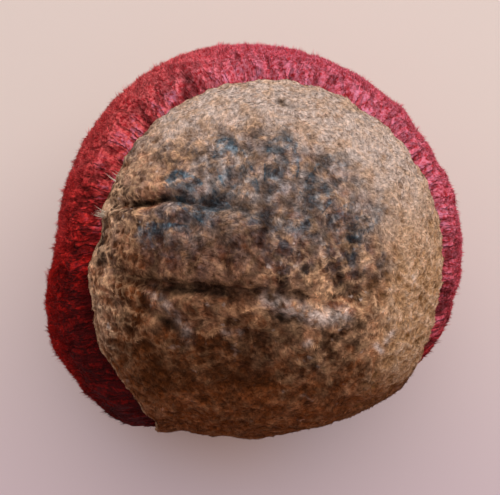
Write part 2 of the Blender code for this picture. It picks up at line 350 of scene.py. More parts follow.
def grid_quads(cells):
    grid = grid_numbers(cells)
    return np.stack((grid[:-1, :-1], grid[1:, :-1], grid[1:, 1:], grid[:-1, 1:]), -1).reshape(-1, 4)


def strip_quads(first, second):
    return np.stack((first, np.roll(first, -1), np.roll(second, -1), second), 1)


def strip_to_coarser(coarse, fine):
    """Faces between two rings, each with one edge of the coarse ring and several of the fine one."""
    per_edge = len(fine) // len(coarse)
    steps = np.arange(per_edge, -1, -1)
    corners = (np.arange(len(coarse))[:, None] * per_edge + steps) % len(fine)
    return np.concatenate((coarse[:, None], np.roll(coarse, -1)[:, None], fine[corners]), 1)


def read(items, field, width=1, kind=np.float32):
    """One field of all the items of a mesh, in rows of that width."""
    values = np.empty(len(items) * width, kind)
    items.foreach_get(field, values)
    return values.reshape(-1, width) if width > 1 else values


def new_object(name, data):
    made = bpy.data.objects.new(name, data)
    bpy.context.scene.collection.objects.link(made)
    return made


SLACK_SCALE = 20.0  # the bag is simulated at about a metre across, where Cloth's usual values hold
SLACK_FRAMES, SLACK_STEPS = 20, 6
SLACK_HELD = 0.4
SLACK_PRESSURE = 1.0


def gathered(points, cells, slack, stiffness):
    """Lets a panel, held at the seam, buckle over its fill by cloth simulation.

    slack is the share by which the suede is longer than the room for it, at each point. The result is how
    far each point moves out.
    """
    mesh = bpy.data.meshes.new("slack panel")
    mesh.from_pydata((points - BAG_CENTRE) * SLACK_SCALE, [], grid_quads(cells).tolist())
    middle = mesh.polygons[len(mesh.polygons) // 2]
    if middle.normal.dot(middle.center) < 0:
        mesh.flip_normals()
    worker = new_object("slack panel", mesh)
    held = worker.vertex_groups.new(name="held")
    held.add(range(len(points)), SLACK_HELD, "REPLACE")
    held.add(rim_of_grid(cells).tolist(), 1.0, "REPLACE")
    longer = worker.vertex_groups.new(name="longer")
    for index, share in enumerate(slack / slack.max()):
        longer.add([index], share, "REPLACE")
    modifier = worker.modifiers.new("slack", "CLOTH")
    modifier.point_cache.frame_end = SLACK_FRAMES
    settings = modifier.settings
    settings.quality = SLACK_STEPS
    settings.bending_stiffness = stiffness
    settings.use_pressure = True
    settings.uniform_pressure_force = SLACK_PRESSURE
    settings.vertex_group_mass = "held"
    settings.vertex_group_shrink = "longer"
    settings.shrink_min, settings.shrink_max = 0.0, -slack.max()
    settings.effector_weights.gravity = 0
    for moment in range(1, SLACK_FRAMES + 1):
        bpy.context.scene.frame_set(moment)
    buckled = worker.evaluated_get(bpy.context.evaluated_depsgraph_get()).data
    moved = read(buckled.vertices, "co", 3) / SLACK_SCALE + BAG_CENTRE - points
    bpy.data.objects.remove(worker)
    bpy.data.meshes.remove(mesh)
    bpy.context.scene.frame_set(1)
    return np.sum(moved * unit(points - BAG_CENTRE), 1)


def spline_weights(fine, coarse):
    """Weights that carry values from a coarse row of cells to a finer one along a smooth curve."""
    off = np.abs(np.linspace(0, coarse, fine + 1)[:, None] - np.arange(coarse + 1))
    weights = np.where(off < 1, 2 / 3 - off**2 + off**3 / 2, np.clip(2 - off, 0, None) ** 3 / 6)
    return weights / weights.sum(1, keepdims=True)


def finer(values, cells, fine_cells):
    along, across = (spline_weights(fine, coarse) for fine, coarse in zip(fine_cells, cells))
    return (along @ values.reshape(cells[0] + 1, cells[1] + 1) @ across.T).ravel()


def store(mesh, name, values, domain="POINT"):
    """Keeps a truth, a number or a vector for each point or face of a mesh."""
    values = np.ascontiguousarray(values)
    kind = "FLOAT_VECTOR" if values.ndim == 2 else "BOOLEAN" if values.dtype == bool else "FLOAT"
    attribute = mesh.attributes.new(name, kind, domain)
    attribute.data.foreach_set("vector" if values.ndim == 2 else "value", values.ravel())


OUTSIDE_SHARE_OF_MAP, MAP_MARGIN = 0.8, 0.02
INSIDE_SHARE_OF_MAP = 1 - 2 * MAP_MARGIN - OUTSIDE_SHARE_OF_MAP
GATHER_STRETCH = 0.24  # distance from the seam counts for less, which draws the folds out across the seam
MOST_GATHER = 0.0010


def sewn_panel(name, turn, side, form, grain, slack, stiffness, comb):
    """A suede panel with thickness and a turned-in allowance; side is 1 for tan and -1 for red.

    form and grain give the broad and the small relief, and comb the way that the nap lies. slack is the
    share of spare length all over, what is added at the seam, and how far in that reaches. The mesh keeps
    its places at the seam, its relief and the lobe's plan, and has a map with the outside apart.
    """

    def directions(cells, inset):
        """A grid set in from the seam: its directions, its square, and its places at the seam."""
        on_seam, square = panel_directions(cells)
        on_seam = on_seam @ (COVER_TO_BAG @ turn).T
        distance, share = seam_places(on_seam)
        way = eased(on_seam, side * inset - seam_wander(share))
        return way, square, distance, share

    way, _, distance, share = directions(SLACK_CELLS, SEAM_GAP / 2)
    start = form_points(way)
    start = settled(start, form(start, distance))
    spare, at_seam, reach = slack
    gather = gathered(start, SLACK_CELLS, spare + at_seam * np.exp(-distance / reach), stiffness)
    gather = np.clip(gather, -MOST_GATHER, MOST_GATHER)

    def skin(cells, inset):
        """The outside on a grid, its relief in metres above the broad form, and what directions gives."""
        way, square, distance, share = directions(cells, inset)
        points = form_points(way)
        relief = finer(gather, SLACK_CELLS, cells) + grain(points, distance, share)
        return settled(points, form(points, distance) + relief), relief, way, square, distance, share

    outer, *outer_values = skin(OUTSIDE_CELLS, SEAM_GAP / 2)
    inner, *inner_values = skin(INSIDE_CELLS, SEAM_GAP / 2 + SUEDE)
    inner = inner - SUEDE * unit(inner - BAG_CENTRE)
    outer_rim, inner_rim = rim_of_grid(OUTSIDE_CELLS), rim_of_grid(INSIDE_CELLS)
    outer_flange = outer[outer_rim] - (SUEDE + SEAM_ALLOWANCE) * unit(outer[outer_rim] - BAG_CENTRE)
    inner_flange = inner[inner_rim] - SEAM_ALLOWANCE * unit(inner[inner_rim] - BAG_CENTRE)
    inner_start = len(outer)
    outer_ring = inner_start + len(inner) + np.arange(len(outer_rim))
    inner_ring = outer_ring[-1] + 1 + np.arange(len(inner_rim))
    outside_faces = grid_quads(OUTSIDE_CELLS).tolist()
    faces = outside_faces + sum((rows.tolist() for rows in (
        grid_quads(INSIDE_CELLS)[:, ::-1] + inner_start,
        strip_quads(outer_ring, outer_rim),
        strip_to_coarser(inner_ring, outer_ring),
        strip_quads(inner_rim + inner_start, inner_ring),
    )), [])
    places = np.concatenate((outer, inner, outer_flange, inner_flange))
    mesh = bpy.data.meshes.new(name)
    mesh.from_pydata(places, [], faces)
    first = mesh.polygons[len(outside_faces) // 2]
    if first.normal.dot(first.center - Vector(BAG_CENTRE)) < 0:
        mesh.flip_normals()
    mesh.shade_smooth()

    relief, ways, square, distance, share = (
        np.concatenate((outside, inside, outside[outer_rim], inside[inner_rim]))
        for outside, inside in zip(outer_values, inner_values)
    )
    in_cover = ways @ COVER_TO_BAG
    off_lobe = np.arccos(np.clip(in_cover[:, 1], -1, 1))
    flat = unit(in_cover[:, [0, 2]] + 1e-9) * off_lobe[:, None] * MEAN_RADIUS * 1000
    turned = 2 * math.pi * share
    ring = SEAM_LENGTH / (2 * math.pi)
    for attribute, values in {
        "lobe_plan": np.stack((-flat[:, 0], flat[:, 1], 0 * distance), 1),
        "seam_distance": distance * 1000,
        "seam_share": share,
        "seam_round": np.stack((ring * np.cos(turned), ring * np.sin(turned), distance * GATHER_STRETCH), 1),
        "over_seam": -side * unit(away_from_seam(in_cover)) @ COVER_TO_BAG.T,
        "relief": relief * 1000,
        "comb": comb(places, ways, distance),
    }.items():
        store(mesh, attribute, values)
    store(mesh, "outside", np.arange(len(faces)) < len(outside_faces), "FACE")
    outside_spot = square * (1, OUTSIDE_SHARE_OF_MAP)
    inside_spot = square * (1, INSIDE_SHARE_OF_MAP) + (0, OUTSIDE_SHARE_OF_MAP + MAP_MARGIN)
    corners = read(mesh.loops, "vertex_index", kind=np.int32)
    outside_corner = np.arange(len(corners)) < 4 * len(outside_faces)
    chosen = np.where(outside_corner[:, None], outside_spot[corners], inside_spot[corners])
    layer = mesh.uv_layers.new(name="OFBake")
    layer.data.foreach_set("uv", chosen.ravel())
    return new_object(name, mesh)


def values_of(panel, name):
    return read(panel.data.attributes[name].data, "value")


def places_of(panel):
    return read(panel.data.vertices, "co", 3).astype(float)


TAN_SWIRL_SIZE, TAN_STROKED_EDGE = 0.0030, 0.006
TAN_LAY = (0.15, -0.35, 0)


def tan_comb(places, ways, distance):
    """Tan nap is stroked round the lobe at its edge, and felted into small swirls all over."""
    across = unit(away_from_seam(ways @ COVER_TO_BAG)) @ COVER_TO_BAG.T
    round_lobe = np.cross(across, ways)
    edge = np.exp(-((distance / TAN_STROKED_EDGE) ** 2))[:, None]
    return unit(1.3 * edge * round_lobe + 1.3 * swirls_at(places / TAN_SWIRL_SIZE) + TAN_LAY)


class Shade:
    """A socket of a node tree, so that the sums behind a finish or a scatter read as plain expressions."""

    def __init__(self, tree, socket=None):
        self.tree, self.socket = tree, socket

    def make(self, kind, settings=None, inputs=None, output=0):
        """Adds a node: its settings first, then the values or links of its sockets; gives one output."""
        node = self.tree.nodes.new(kind)
        for name, value in (settings or {}).items():
            setattr(node, name, value)
        for name, value in (inputs or {}).items():
            if isinstance(value, Shade):
                self.tree.links.new(value.socket, node.inputs[name])
            else:
                node.inputs[name].default_value = value
        return Shade(self.tree, node.outputs[output])

    def maths(self, operation, *values):
        return self.make("ShaderNodeMath", {"operation": operation}, dict(enumerate(values)))

    def __add__(self, other):
        return self.maths("ADD", self, other)

    def __sub__(self, other):
        return self.maths("SUBTRACT", self, other)

    def __rsub__(self, other):
        return self.maths("SUBTRACT", other, self)

    def __mul__(self, other):
        return self.maths("MULTIPLY", self, other)

    __radd__, __rmul__ = __add__, __mul__

    def between(self, low, high):
        """0 at low and 1 at high, eased, and held beyond them; low may be above high."""
        span = {"Value": self, "From Min": low, "From Max": high}
        return self.make("ShaderNodeMapRange", {"interpolation_type": "SMOOTHSTEP"}, span)

    def mixed(self, first, second):
        """The first colour where this is 0 and the second where it is 1."""
        return self.make("ShaderNodeMix", {"data_type": "RGBA"}, {"Factor": self, 6: first, 7: second}, 2)

    def scaled(self, colour):
        """The colour times this."""
        return self.make("ShaderNodeVectorMath", {"operation": "SCALE"}, {0: colour, "Scale": self})

    def noise(self, place, size_mm, detail=3.0, roughness=0.55, seed=0.0, output=0):
        """Cloud noise about 0.5, with lumps of that size, on a place in metres."""
        return self.make(
            "ShaderNodeTexNoise",
            {"noise_dimensions": "4D"},
            {"Vector": place, "W": seed, "Scale": 1000 / size_mm, "Detail": detail, "Roughness": roughness},
            output,
        )

    def netted(self, place, size_mm, bend_mm, seed):
        """A net of ridges bent by noise, on a place in metres: 0 on a ridge and 1 deep inside its holes."""
        bend = self.noise(place, size_mm, detail=2.0, roughness=0.5, seed=seed, output="Color")
        most = (bend_mm / 1000,) * 3
        bent = self.make("ShaderNodeVectorMath", {"operation": "MULTIPLY_ADD"}, {0: bend, 1: most, 2: place})
        cells = {"Vector": bent, "Scale": 1000 / size_mm}
        apart = self.make("ShaderNodeTexVoronoi", {"feature": "DISTANCE_TO_EDGE"}, cells)
        return apart.between(0.02, 0.32)

    def attribute(self, name, output="Fac"):
        return self.make("ShaderNodeAttribute", {"attribute_name": name}, output=output)

    def parts(self, vector):
        node = self.make("ShaderNodeSeparateXYZ", inputs={"Vector": vector}).socket.node
        return [Shade(self.tree, socket) for socket in node.outputs]


def colour(*numbers):
    """Red, green and blue as a screen shows them, 0 to 255, in the linear values that a shader takes."""
    shares = (number / 255 for number in numbers)
    return (*(s / 12.92 if s <= 0.04045 else ((s + 0.055) / 1.055) ** 2.4 for s in shares), 1.0)


def new_finish(name, roughness, sheen=0.0, shine=0.5):
    """A Principled finish with its constant values set; gives the material, its shader and a Shade."""
    finish = bpy.data.materials.new(name)
    finish.use_nodes = True
    shader = finish.node_tree.nodes["Principled BSDF"]
    shader.inputs["Roughness"].default_value = roughness
    shader.inputs["Specular IOR Level"].default_value = shine
    shader.inputs["Sheen Weight"].default_value = sheen
    shader.inputs["Sheen Roughness"].default_value = 0.45
    return finish, shader, Shade(finish.node_tree)


def plug(shade, shader, socket):
    shade.tree.links.new(shade.socket, shader.inputs[socket])


PETALS, PETAL_START, PETAL_END, HEART = 12, 6.2, 13.4, 4.6
ROSETTE_PLACE = (-1.0, 4.0)


def worn_rosette(s, place):
    """A faded stamp of petals round a disc, rubbed off in patches; gives its ink, 0 to 1."""
    across, up, _ = s.parts(s.attribute("lobe_plan", "Vector"))
    across, up = across - ROSETTE_PLACE[0], up - ROSETTE_PLACE[1]
    smudged = (s.noise(place, 1.3, seed=5.0) - 0.5) * 3.0
    radius = s.maths("SQRT", across * across + up * up) + smudged
    turn = s.maths("ARCTAN2", up, across)
    lobed = s.maths("POWER", s.maths("ABSOLUTE", s.maths("SINE", turn * (PETALS / 2))), 0.4)
    inside = lobed * PETAL_END - radius
    petals = inside.between(-0.7, 0.5) * (1.0 - inside.between(0.8, 2.0) * 0.22)
    petals = petals * radius.between(PETAL_START - 0.4, PETAL_START + 0.4)
    disc = radius.between(HEART + 0.4, HEART - 0.4) * 0.6
    rubbed = s.noise(place, 1.2, detail=4.0, roughness=0.65, seed=9.0).between(0.33, 0.58)
    bled = radius.between(PETAL_END + 1.0, PETAL_END - 3.0) * 0.46
    return s.maths("MAXIMUM", s.maths("MAXIMUM", petals, disc) * rubbed, bled)


FINE_NET = (0.75, 0.7, 31.0)  # size and bend in millimetres, and seed


def layered(base, *layers):
    """A colour with others laid over it in turn, each given as its strength and its colour."""
    for strength, tint in layers:
        base = strength.mixed(base, tint)
    return base


def tan_colour(s, place):
    """Tan suede: pale at the far edge as a painted sheen, warm on the right, grimed and painted in shade on
    the left, brown down the waist from scuffs and painted shade, with painted shade between the folds, in
    hollows and creases, and painted highlights on raised felt.
    """
    across, up, _ = s.parts(s.attribute("lobe_plan", "Vector"))
    edge = s.attribute("seam_distance")

    def clouds(size_mm, low, high, **kind):
        return s.noise(place, size_mm, **kind).between(low, high)

    patches = s.noise(place, 6.0, seed=4.0) - 0.5
    # 0 at the far edge, which is painted pale and pinkish as a painted sheen of the light; 1 down the lobe
    # and on the right.
    warm = (up * -1.0 + across * 0.25 + patches * 10).between(-10.0, 6.0)
    straw = clouds(1.4, 0.44, 0.64, seed=2.0)
    grimed = (edge - across * 0.30 + patches * 10).between(3.5, 10.5)
    # On the left and lower side: grime from handling, and painted shade away from the light.
    handled_and_shaded = (across * -1.0 - up * 0.35 + patches * 12).between(1.0, 12.0)
    # Down the waist: scuffs, and painted shade on the lower side away from the light.
    scuffed_and_shaded = (across * -0.30 - up + patches * 12).between(4.5, 13.5)
    spared = up.between(6.0, 11.0) * across.between(-14.0, -6.0)
    worn = s.maths("MAXIMUM", grimed, handled_and_shaded) * (1.0 - spared * 0.45)
    soaked = clouds(2.6, 0.34, 0.62, detail=2.0, seed=12.0)
    rust = clouds(1.8, 0.42, 0.66, detail=2.0, seed=33.0)
    drawn_out = s.make("ShaderNodeVectorMath", {"operation": "MULTIPLY"}, {0: place, 1: (1.0, 0.45, 0.7)})
    spots = s.noise(drawn_out, 1.3, roughness=0.6, seed=7.0).between(0.46, 0.64)
    clots = s.noise(place, 2.8, detail=1.5, seed=61.0)
    threads = s.noise(drawn_out, 0.8, detail=2.0, seed=47.0).between(0.50, 0.70)
    holes = s.netted(place, *FINE_NET) - 0.5
    relief = s.attribute("relief") - holes * (0.06 + edge.between(9.0, 3.0) * 0.10)
    strong = 0.48 + s.maths("MAXIMUM", worn, warm) * 0.44
    # Painted highlights on the raised felt.
    pale = relief.between(0.0, 0.20) * strong * (0.92 - scuffed_and_shaded * 0.84)
    ink = clouds(0.8, 0.30, 0.70, seed=15.0).mixed(colour(16, 34, 48), colour(106, 134, 148))
    unworn = (up + across * 0.1).between(-1.0, 8.0) * (1.0 - (up * 0.6 + across).between(9.0, 16.0) * 0.40)
    cut_edge = edge.between(0.4, 0.05) * clouds(0.9, 0.35, 0.60, seed=51.0)
    flecks = clouds(0.9, 0.67, 0.77, detail=1.0, seed=41.0) * (0.5 - scuffed_and_shaded * 0.4)
    bare = s.attribute("rubbed") * clouds(0.8, 0.30, 0.60, seed=44.0) * 0.85
    height = up + patches * 5
    # Painted shade with some grime: a broad band between the folds on the left, and a narrower one above the
    # base.
    shade_and_soil = (across + patches * 6).between(3.0, -5.0) * height.between(9.0, 5.0)
    shade_and_soil = shade_and_soil * height.between(-10.5, -7.5)
    shade_and_grease = height.between(-2.0, -5.0) * height.between(-11.0, -8.0) * across.between(9.0, 4.0)
    ragged = clouds(0.7, 0.25, 0.60, seed=24.0) * 0.5 + 0.5
    base = layered(
        # Pale and pinkish at the far edge, a painted sheen, warming down the lobe and to the right.
        warm.mixed(colour(218, 198, 184), colour(202, 160, 120)),
        (straw * 0.45, colour(194, 148, 100)),
        (worn * 0.80, soaked.mixed(colour(180, 134, 102), colour(104, 68, 43))),
        # Grime and painted shade on the left.
        (handled_and_shaded * edge.between(1.0, 6.0) * 0.50, colour(84, 46, 22)),
        (rust * worn * 0.60, colour(158, 82, 34)),
        # Brown down the waist, from scuffs and painted shade.
        (scuffed_and_shaded * 0.88, colour(110, 53, 18)),
        (spots * worn * (0.70 - scuffed_and_shaded * 0.35), colour(48, 29, 16)),
        (clots.between(0.50, 0.64) * worn * (0.62 - scuffed_and_shaded * 0.47), colour(44, 28, 17)),
        (clots.between(0.48, 0.34) * grimed * (0.50 - scuffed_and_shaded * 0.45), colour(210, 164, 128)),
        (threads * worn * (0.58 - scuffed_and_shaded * 0.48), colour(216, 166, 126)),
        # Painted shade in the hollows, then painted highlights on the raised felt.
        (relief.between(0.0, -0.22) * strong, worn.mixed(colour(136, 94, 52), colour(72, 38, 18))),
        (pale, grimed.mixed(colour(226, 190, 158), colour(224, 176, 132))),
        (worn_rosette(s, place) * (0.06 + unworn * 0.84), ink),
        (cut_edge * 0.5, colour(222, 184, 146)),
        (s.maths("MAXIMUM", flecks, bare), colour(224, 206, 194)),
        # Painted shade with some grime between the folds and above the base.
        (shade_and_soil * edge.between(1.5, 5.0) * 0.62, colour(84, 42, 16)),
        (shade_and_grease * edge.between(0.5, 3.0) * 0.46, colour(64, 31, 10)),
        # Painted shade along the bottoms of the folds.
        (s.attribute("crease").between(0.20, 0.90) * ragged, colour(28, 18, 11)),
    )
    fibre = clouds(0.45, 0.28, 0.74, detail=2.0, roughness=0.6)
    mottled = clouds(1.3, 0.36, 0.64, detail=1.5, seed=71.0) - 0.44
    return ((fibre * 0.70 + 0.62) * (grimed * (1.0 - scuffed_and_shaded * 0.6) * mottled * 0.9 + 1.0)).scaled(base)


def bumped(s, shader, height, depth):
    """Feeds a height, where 1 stands for depth in metres, to the shader's normal."""
    bump = s.make("ShaderNodeBump", inputs={"Height": height, "Distance": depth, "Strength": 1.0})
    plug(bump, shader, "Normal")


def object_place(s):
    return s.make("ShaderNodeTexCoord", output="Object")


TAN_SLACK, TAN_STIFFNESS = (0.02, 0.03, 0.006), 60.0
# How strongly the fold bottoms are painted in shade, and how much the nap thins there.
CREASE_SHADE_AND_WEAR = 0.85

tan_finish, shader, s = new_finish("tan suede", 0.92, shine=0.05)
place = object_place(s)
plug(tan_colour(s, place), shader, "Base Color")
bumped(s, shader, s.noise(place, 0.30) - s.netted(place, *FINE_NET) * 0.6, 0.00020)

tan_panel = sewn_panel(
    "tan_suede_panel", np.eye(3), 1, tan_form, tan_grain, TAN_SLACK, TAN_STIFFNESS, tan_comb
)
tan_panel.data.materials.append(tan_finish)
tan_crease = CREASE_SHADE_AND_WEAR * fold_depth(places_of(tan_panel), TAN_FOLDS)[1]
store(tan_panel.data, "crease", tan_crease)
store(tan_panel.data, "rubbed", rubbed_pale(places_of(tan_panel), TAN_RUBS))
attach(tan_panel, "bag")
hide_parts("tan_panel")

# Red panel
# The same dog-bone in crimson suede, half a turn round. It is gathered into the seam, so short puckers run
# out from its edge, and its nap has been rubbed smooth on the puckers, whose backs carry painted pink
# highlights.

RED_VALLEY, RED_VALLEY_REACH = 0.0015, 0.0024
RED_PUCKER, RED_PUCKER_SPACING, RED_PUCKER_REACH, RED_PUCKER_LENGTH = 0.0008, 0.0019, 0.0045, 0.008
RED_CRINKLE, RED_CRINKLE_SPACING, RED_CRINKLE_LENGTH = 0.00050, 0.0010, 0.0022
GATHER_WANDER, GATHER_WANDER_SIZE = 0.006, 0.004
RED_GRAIN, RED_GRAIN_SIZE, RED_FINE_GRAIN_SIZE = 0.00012, 0.0010, 0.0005
RED_SLACK, RED_STIFFNESS = (0.025, 0.10, 0.005), 14.0
RED_SWIRL_SIZE, RED_LOOSE_FROM = 0.0014, 0.006


def red_form(points, distance):
    """How far the red panel stands off the smooth bag: drawn down into the seam, lumpy over the pellets."""
    valley = -NAP_STAND - RED_VALLEY * np.exp(-((distance / RED_VALLEY_REACH) ** 2))
    return valley + PELLET_LUMP * noise_at(points / PELLET_LUMP_SIZE + 5)


def red_grain(points, distance, share):
    """The gathers that run out from the seam, with fine crinkles between them."""
    wander = GATHER_WANDER * noise_at(points / GATHER_WANDER_SIZE)
    puckers = round_seam(share + wander, RED_PUCKER_SPACING, distance / RED_PUCKER_LENGTH, 11.0)
    crinkles = round_seam(share + wander / 2, RED_CRINKLE_SPACING, distance / RED_CRINKLE_LENGTH, 17.0)
    reach = np.exp(-distance / RED_PUCKER_REACH)
    uneven = noise_at(points / RED_GRAIN_SIZE) + 0.6 * noise_at(points / RED_FINE_GRAIN_SIZE)
    return RED_PUCKER * puckers * reach + RED_CRINKLE * crinkles * (0.25 + reach) + RED_GRAIN * uneven


def red_comb(places, ways, distance):
    """Red nap lies away from the seam in small clumps, tousled by wear."""
    across = -unit(away_from_seam(ways @ COVER_TO_BAG)) @ COVER_TO_BAG.T
    loose = np.clip(distance / RED_LOOSE_FROM, 0.1, 1)[:, None]
    return unit(across + 1.5 * loose * swirls_at(places / RED_SWIRL_SIZE))


def fine_folds(s, size_mm):
    """Branching folds that run out from the seam: above 0 on their backs and below 0 between them."""
    return s.noise(s.attribute("seam_round", "Vector"), size_mm, detail=2.0, seed=23.0) - 0.5


def slits(s):
    """Narrow cracks between the gathers, where the suede folds in on itself."""
    return s.maths("ABSOLUTE", fine_folds(s, 1.0)).between(0.06, 0.01)


def to_light(s, place):
    """How far towards the sunny side a place lies, in metres, with uneven borders."""
    x, y, _ = s.parts(place)
    return y + x * 0.38 + (s.noise(place, 5.0, seed=1.0) - 0.5) * 0.02


def red_colour(s, place):
    """Crimson suede with painted light: painted shade near black down in the gathers and away from the light,
    painted highlights on their backs, and a painted pink sheen towards the light.
    """
    edge = s.attribute("seam_distance")
    relief = s.attribute("relief")
    folds = fine_folds(s, 0.6)
    fibre = s.noise(place, 0.45, detail=2.5, roughness=0.6).between(0.32, 0.70)
    lit = to_light(s, place)
    # Painted light: the side towards the light is painted paler and pinker, standing in for its sheen.
    painted_lit_side = lit.between(-0.018, 0.016)
    beside, _, _ = s.parts(place)
    # Colours of the painted sheen, pinker on the left and bluer on the right.
    painted_sheen_pink = beside.between(-0.016, 0.004).mixed(colour(254, 130, 128), colour(249, 138, 160))
    crimson = fibre.mixed(colour(122, 4, 2), colour(236, 32, 20))
    # Painted shade: the side away from the light is painted darker, most of all near the seam.
    painted_shade_side = lit.between(-0.008, -0.022) * (0.36 + edge.between(10.0, 3.0) * 0.56)
    streaks = s.noise(place, 0.5, seed=21.0).between(0.40, 0.56)
    # Painted highlights: lilac-pink glints on the backs of the gathers near the seam, mostly on the lit side.
    painted_glints = (relief * 0.3 + folds).between(0.02, 0.14) * streaks * edge.between(5.0, 1.5)
    # Painted shade in the folds and slits between the gathers.
    furrow_shade = s.maths("MAXIMUM", folds.between(-0.02, -0.14), slits(s)) * edge.between(10.0, 4.0)
    grimed = s.noise(place, 1.8, seed=8.0).between(0.55, 0.70)
    return layered(
        # Crimson, with a painted pink sheen over it towards the light.
        painted_lit_side.mixed(crimson, fibre.mixed(colour(196, 42, 52), painted_sheen_pink)),
        # Painted shade on the side away from the light.
        (painted_shade_side, fibre.mixed(colour(34, 0, 0), colour(92, 3, 2))),
        # Painted highlights on the backs of the gathers.
        (painted_glints * (lit.between(-0.016, -0.004) * 0.06 + painted_lit_side * 0.66), colour(236, 152, 182)),
        # Painted shade in the hollows of the relief.
        (relief.between(0.0, -0.40) * 0.75, colour(66, 1, 2)),
        # Painted shade in the folds between the gathers.
        (furrow_shade * (0.84 - painted_lit_side * 0.44), colour(58, 1, 2)),
        (grimed * 0.40, colour(84, 4, 6)),
    )


red_finish, shader, s = new_finish("crimson suede", 0.75, shine=0.12)
place = object_place(s)
plug(red_colour(s, place), shader, "Base Color")
rubbed = s.attribute("seam_distance").between(5.0, 2.0) * s.noise(place, 1.2, seed=6.0).between(0.40, 0.58)
plug(0.88 - rubbed * to_light(s, place).between(-0.016, 0.0) * 0.50, shader, "Roughness")
lumps = s.noise(place, 0.35) + s.noise(place, 1.0, seed=3.0) * 1.5
bumped(s, shader, lumps + fine_folds(s, 0.6) * 9.0 - slits(s) * 1.2, 0.00018)

red_panel = sewn_panel(
    "red_suede_panel", TAN_TO_RED, -1, red_form, red_grain, RED_SLACK, RED_STIFFNESS, red_comb
)
red_panel.data.materials.append(red_finish)
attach(red_panel, "bag")
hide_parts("red_panel")

# Nap
# The raised fibres of the suede itself, on both panels: short tapered hairs, stroked flat by handling and
# worn thin at the red gathers, with longer tufts on the red and a pale fray in two places of the tan edge.


def nap_tree():
    """Geometry nodes that stand hairs on the outside of a panel, along its combed direction."""
    tree = bpy.data.node_groups.new("suede nap", "GeometryNodeTree")
    tree.interface.new_socket("Geometry", in_out="OUTPUT", socket_type="NodeSocketGeometry")
    measures = ("Hairs", "Length", "Radius", "Curl", "Least lean", "Most lean", "Tousle", "Lowest", "Highest")
    for kind, names in {
        "Geometry": ("Geometry",),
        "Float": measures,
        "Int": ("Segments", "Seed"),
        "String": ("Cover", "Comb"),
        "Material": ("Finish",),
    }.items():
        for name in names:
            tree.interface.new_socket(name, in_out="INPUT", socket_type="NodeSocket" + kind)
    given = {socket.name: Shade(tree, socket) for socket in tree.nodes.new("NodeGroupInput").outputs}
    s = Shade(tree)

    def vectors(operation, *values, output=0):
        return s.make("ShaderNodeVectorMath", {"operation": operation}, dict(enumerate(values)), output)

    def named(name, kind):
        return s.make("GeometryNodeInputNamedAttribute", {"data_type": kind}, {"Name": name})

    def chance(low, high, seed, kind="FLOAT"):
        least, most, output = {"FLOAT_VECTOR": (0, 1, 0), "FLOAT": (2, 3, 1)}[kind]
        inputs = {least: low, most: high, "Seed": given["Seed"] + seed}
        return s.make("FunctionNodeRandomValue", {"data_type": kind}, inputs, output)

    place = s.make("GeometryNodeInputPosition")
    _, _, height = s.parts(place)
    wanted = named("outside", "BOOLEAN")
    for limit, side in (("Lowest", "GREATER_EQUAL"), ("Highest", "LESS_THAN")):
        within = s.make("FunctionNodeCompare", {"operation": side}, {0: height, 1: given[limit]})
        wanted = s.make("FunctionNodeBooleanMath", {"operation": "AND"}, {0: wanted, 1: within})
    density = given["Hairs"] * named(given["Cover"], "FLOAT")
    scatter = {"Mesh": given["Geometry"], "Selection": wanted, "Density": density, "Seed": given["Seed"]}
    points = s.make("GeometryNodeDistributePointsOnFaces", inputs=scatter)
    normal = Shade(tree, points.socket.node.outputs["Normal"])
    for name, kind, value in (
        ("root", "FLOAT_VECTOR", place),
        ("root_map", "FLOAT_VECTOR", named("OFBake", "FLOAT_VECTOR")),
        ("tone", "FLOAT", chance(0.0, 1.0, 4)),
    ):
        kept = {"Geometry": points, "Name": name, "Value": value}
        points = s.make("GeometryNodeStoreNamedAttribute", {"data_type": kind}, kept)
    tousled = given["Tousle"].scaled(chance((-1, -1, -1), (1, 1, 1), 1, "FLOAT_VECTOR"))
    lay = vectors("ADD", named(given["Comb"], "FLOAT_VECTOR"), tousled)
    upright = vectors("DOT_PRODUCT", lay, normal, output=1).scaled(normal)
    lay = vectors("NORMALIZE", vectors("SUBTRACT", lay, upright))
    lean = chance(given["Least lean"], given["Most lean"], 2)
    way = vectors("ADD", s.maths("SINE", lean).scaled(lay), s.maths("COSINE", lean).scaled(normal))
    turn = s.make("FunctionNodeAlignRotationToVector", {"axis": "Z"}, {"Vector": way})
    size = chance(0.4, 1.0, 3)
    thick, long = given["Radius"] * size, given["Length"] * size
    scale = s.make("ShaderNodeCombineXYZ", inputs={"X": thick, "Y": thick, "Z": long})
    cone = {"Vertices": 3, "Side Segments": given["Segments"], "Depth": 1.0}
    slender = s.maths("DIVIDE", given["Length"], given["Radius"])
    bend = given["Curl"] * slender * s.maths("POWER", height, 2.0)
    hair = s.make("GeometryNodeSetPosition", inputs={
        "Geometry": s.make("GeometryNodeMeshCone", inputs=cone),
        "Offset": s.make("ShaderNodeCombineXYZ", inputs={"X": bend}),
    })
    stood = {"Points": points, "Instance": hair, "Rotation": turn, "Scale": scale}
    hairs = s.make("GeometryNodeInstanceOnPoints", inputs=stood)
    hairs = s.make("GeometryNodeRealizeInstances", inputs={"Geometry": hairs})
    hairs = s.make("GeometryNodeSetMaterial", inputs={"Geometry": hairs, "Material": given["Finish"]})
    tree.links.new(hairs.socket, tree.nodes.new("NodeGroupOutput").inputs["Geometry"])
    return tree


NAP = nap_tree()
HAIR_MAP_SPREAD = 0.0012


